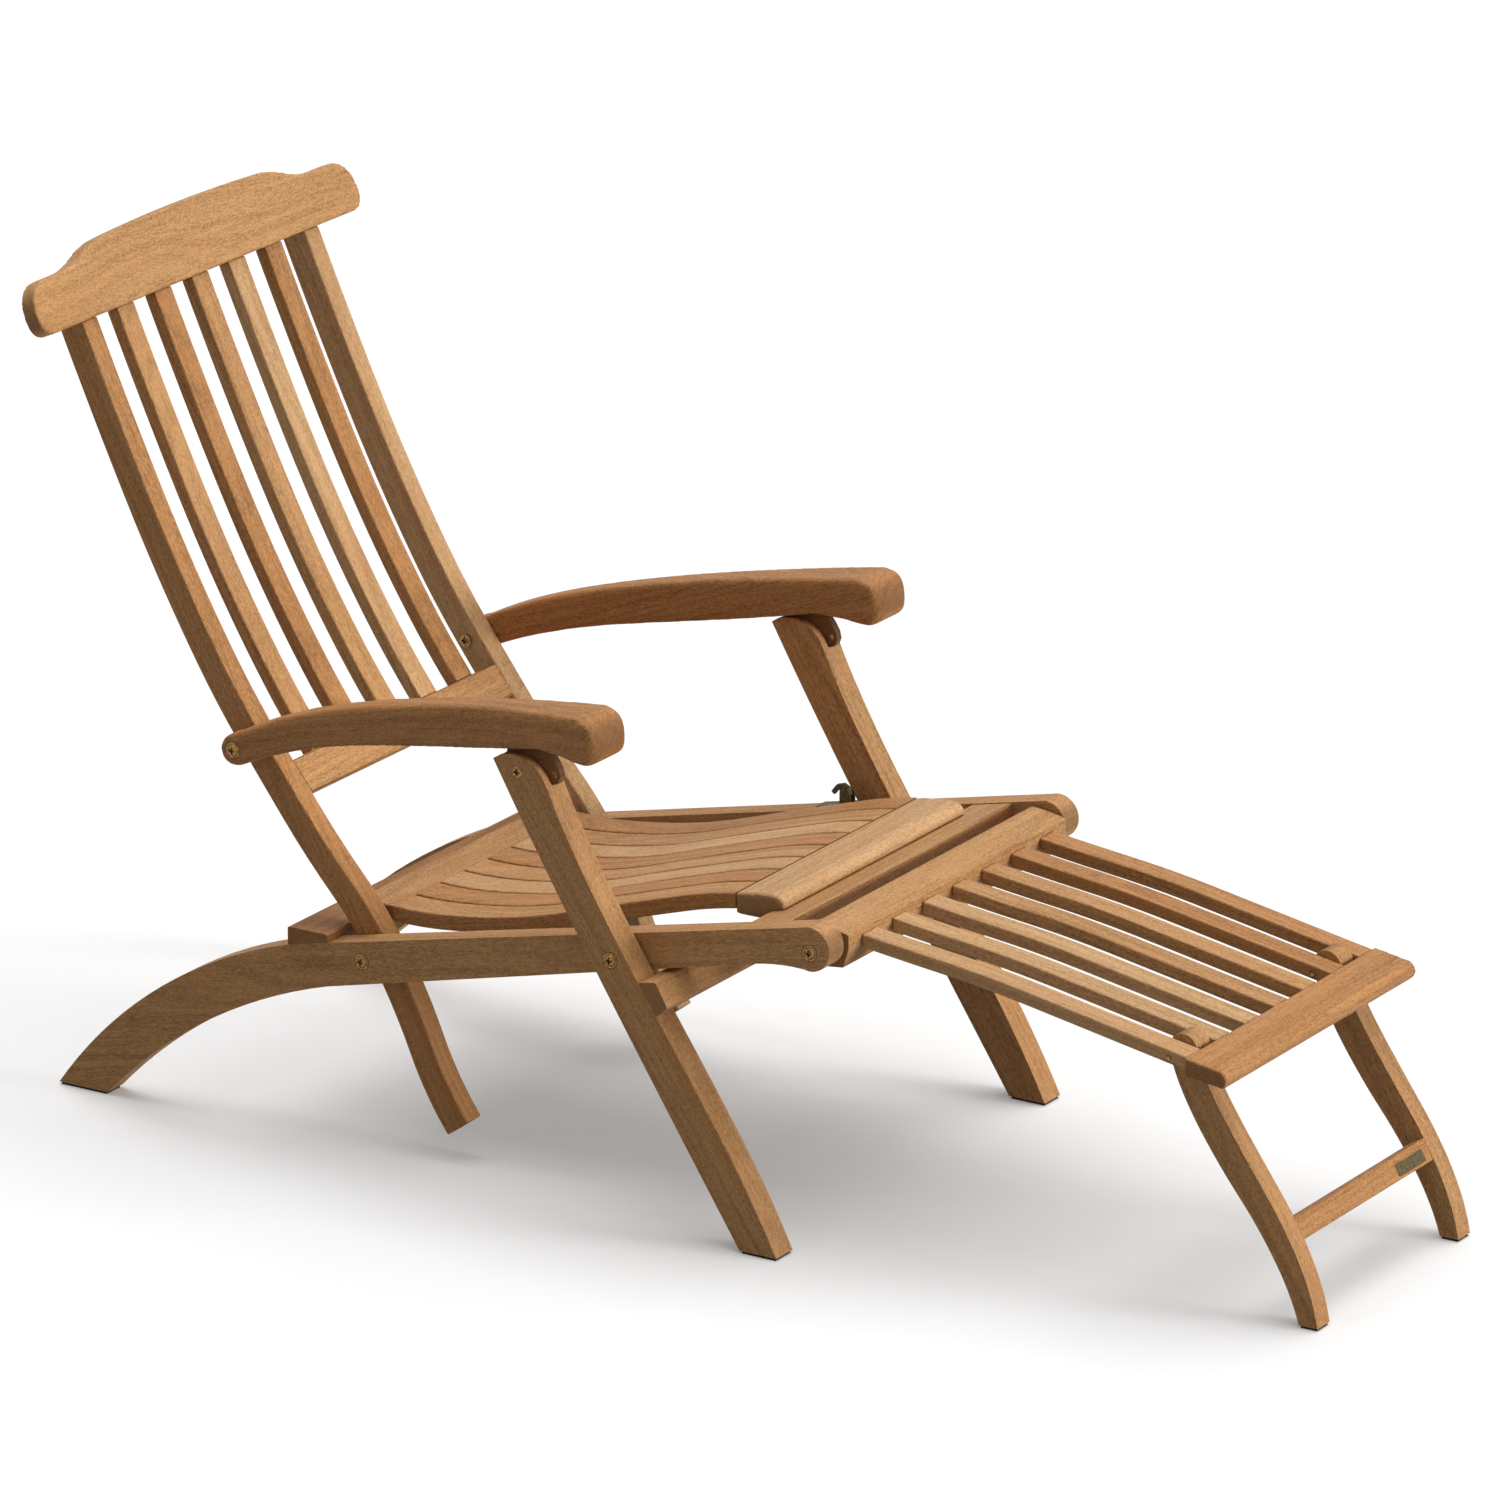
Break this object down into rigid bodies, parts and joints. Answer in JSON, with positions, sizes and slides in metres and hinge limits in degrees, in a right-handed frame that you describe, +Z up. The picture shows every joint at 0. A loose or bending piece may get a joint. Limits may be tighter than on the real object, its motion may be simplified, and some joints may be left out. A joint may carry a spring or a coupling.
{
  "type": "steamer deck chair",
  "caption": "Folding teak steamer chair with a slatted seat, a reclining slatted back, curved armrests, crossed front legs and a slatted leg rest.",
  "frame": {"origin": "floor level, middle of the footprint", "axes": "+Z up, leg rest towards -Y, back towards +Y, width along X, sitter's left at +X"},
  "size_m": [0.6444, 1.5892, 0.9667],
  "materials": {
    "brass": "dull cast brass",
    "teak_arm_tongue_left": "oiled teak, lengthwise grain, eased edges",
    "teak_arm_tongue_right": "oiled teak, lengthwise grain, eased edges",
    "teak_armrest_left": "oiled teak, lengthwise grain, eased edges",
    "teak_armrest_right": "oiled teak, lengthwise grain, eased edges",
    "teak_back_bottom_rail": "oiled teak, lengthwise grain, eased edges",
    "teak_back_slat_1": "oiled teak, lengthwise grain, eased edges",
    "teak_back_slat_2": "oiled teak, lengthwise grain, eased edges",
    "teak_back_slat_3": "oiled teak, lengthwise grain, eased edges",
    "teak_back_slat_4": "oiled teak, lengthwise grain, eased edges",
    "teak_back_slat_5": "oiled teak, lengthwise grain, eased edges",
    "teak_back_stile_left": "oiled teak, lengthwise grain, eased edges",
    "teak_back_stile_right": "oiled teak, lengthwise grain, eased edges",
    "teak_crest_rail": "oiled teak, lengthwise grain, eased edges",
    "teak_footrest_end_rail": "oiled teak, lengthwise grain, eased edges",
    "teak_footrest_leg_left": "oiled teak, lengthwise grain, eased edges",
    "pad": "matt black rubber",
    "teak_footrest_leg_right": "oiled teak, lengthwise grain, eased edges",
    "teak_footrest_leg_stretcher": "oiled teak, lengthwise grain, eased edges",
    "teak_footrest_rear_rail": "oiled teak, lengthwise grain, eased edges",
    "teak_footrest_slat_1": "oiled teak, lengthwise grain, eased edges",
    "teak_footrest_slat_2": "oiled teak, lengthwise grain, eased edges",
    "teak_footrest_slat_3": "oiled teak, lengthwise grain, eased edges",
    "teak_footrest_slat_4": "oiled teak, lengthwise grain, eased edges",
    "teak_footrest_slat_5": "oiled teak, lengthwise grain, eased edges",
    "teak_footrest_slat_6": "oiled teak, lengthwise grain, eased edges",
    "teak_footrest_slat_7": "oiled teak, lengthwise grain, eased edges",
    "teak_front_crossboard": "oiled teak, lengthwise grain, eased edges",
    "teak_front_leg_left": "oiled teak, lengthwise grain, eased edges",
    "teak_front_leg_right": "oiled teak, lengthwise grain, eased edges",
    "teak_leg_stretcher": "oiled teak, lengthwise grain, eased edges",
    "teak_rear_crossbar": "oiled teak, lengthwise grain, eased edges",
    "teak_seat_front_rail": "oiled teak, lengthwise grain, eased edges",
    "teak_seat_mid_batten": "oiled teak, lengthwise grain, eased edges",
    "teak_seat_rear_rail": "oiled teak, lengthwise grain, eased edges",
    "teak_seat_slat_1": "oiled teak, lengthwise grain, eased edges",
    "teak_seat_slat_2": "oiled teak, lengthwise grain, eased edges",
    "teak_seat_slat_3": "oiled teak, lengthwise grain, eased edges",
    "teak_seat_slat_4": "oiled teak, lengthwise grain, eased edges",
    "teak_seat_slat_5": "oiled teak, lengthwise grain, eased edges",
    "teak_seat_slat_6": "oiled teak, lengthwise grain, eased edges",
    "teak_seat_slat_7": "oiled teak, lengthwise grain, eased edges",
    "teak_seat_slat_8": "oiled teak, lengthwise grain, eased edges",
    "teak_side_rail_left": "oiled teak, lengthwise grain, eased edges",
    "teak_side_rail_right": "oiled teak, lengthwise grain, eased edges"
  },
  "bodies": {
    "frame": {"side_rail_left": "teak_side_rail_left", "side_rail_right": "teak_side_rail_right", "front_crossboard": "teak_front_crossboard", "rear_crossbar": "teak_rear_crossbar", "seat_front_rail": "teak_seat_front_rail", "seat_rear_rail": "teak_seat_rear_rail", "seat_mid_batten": "teak_seat_mid_batten", "seat_slat_1": "teak_seat_slat_1", "seat_slat_2": "teak_seat_slat_2", "seat_slat_3": "teak_seat_slat_3", "seat_slat_4": "teak_seat_slat_4", "seat_slat_5": "teak_seat_slat_5", "seat_slat_6": "teak_seat_slat_6", "seat_slat_7": "teak_seat_slat_7", "seat_slat_8": "teak_seat_slat_8", "back_pivot_bolts": "brass", "leg_pivot_bolts": "brass", "footrest_pivot_bolts": "brass", "catch_plate": "brass", "rail_pads": "pad"},
    "back": {"back_stile_left": "teak_back_stile_left", "back_stile_right": "teak_back_stile_right", "back_bottom_rail": "teak_back_bottom_rail", "crest_rail": "teak_crest_rail", "back_slat_1": "teak_back_slat_1", "back_slat_2": "teak_back_slat_2", "back_slat_3": "teak_back_slat_3", "back_slat_4": "teak_back_slat_4", "back_slat_5": "teak_back_slat_5", "arm_pivot_bolts": "brass"},
    "arm_left": {"armrest_left": "teak_armrest_left", "arm_tongue_left": "teak_arm_tongue_left"},
    "arm_right": {"armrest_right": "teak_armrest_right", "arm_tongue_right": "teak_arm_tongue_right"},
    "legs": {"front_leg_left": "teak_front_leg_left", "front_leg_right": "teak_front_leg_right", "leg_stretcher": "teak_leg_stretcher", "arm_pins": "brass", "leg_pads": "pad"},
    "footrest": {"footrest_rear_rail": "teak_footrest_rear_rail", "footrest_end_rail": "teak_footrest_end_rail", "footrest_slat_1": "teak_footrest_slat_1", "footrest_slat_2": "teak_footrest_slat_2", "footrest_slat_3": "teak_footrest_slat_3", "footrest_slat_4": "teak_footrest_slat_4", "footrest_slat_5": "teak_footrest_slat_5", "footrest_slat_6": "teak_footrest_slat_6", "footrest_slat_7": "teak_footrest_slat_7", "footrest_leg_pins": "brass"},
    "footrest_legs": {"footrest_leg_left": "teak_footrest_leg_left", "footrest_leg_right": "teak_footrest_leg_right", "footrest_leg_stretcher": "teak_footrest_leg_stretcher", "footrest_leg_pads": "pad"},
    "catch": {"catch_hook": "brass"}
  },
  "joints": [
    {"name": "back_fold", "type": "hinge", "parent": "frame", "child": "back", "pos_m": [0, 0.36151, 0.2242], "axis": [1, 0, 0], "range_deg": [0, 97]},
    {"name": "arm_left_fold", "type": "hinge", "parent": "back", "child": "arm_left", "pos_m": [0.247, 0.52941, 0.4395], "axis": [1, 0, 0], "range_deg": [-95, 0]},
    {"name": "arm_right_fold", "type": "hinge", "parent": "back", "child": "arm_right", "pos_m": [-0.247, 0.52941, 0.4395], "axis": [1, 0, 0], "range_deg": [-95, 0]},
    {"name": "legs_fold", "type": "hinge", "parent": "frame", "child": "legs", "pos_m": [0, 0.01131, 0.3043], "axis": [1, 0, 0], "range_deg": [0, 102]},
    {"name": "footrest_fold", "type": "hinge", "parent": "frame", "child": "footrest", "pos_m": [0, -0.21829, 0.3445], "axis": [1, 0, 0], "range_deg": [-45, 88]},
    {"name": "footrest_legs_fold", "type": "hinge", "parent": "footrest", "child": "footrest_legs", "pos_m": [0, -0.62659, 0.286], "axis": [1, 0, 0], "range_deg": [0, 120]},
    {"name": "catch_turn", "type": "hinge", "parent": "frame", "child": "catch", "pos_m": [0.247, 0.04841, 0.33], "axis": [1, 0, 0], "range_deg": [0, 90]}
  ],
  "couplings": [
    {"joint": "arm_left_fold", "follows": "back_fold", "ratio": -0.97},
    {"joint": "arm_right_fold", "follows": "back_fold", "ratio": -0.97},
    {"joint": "legs_fold", "follows": "back_fold", "ratio": 1.05}
  ]
}
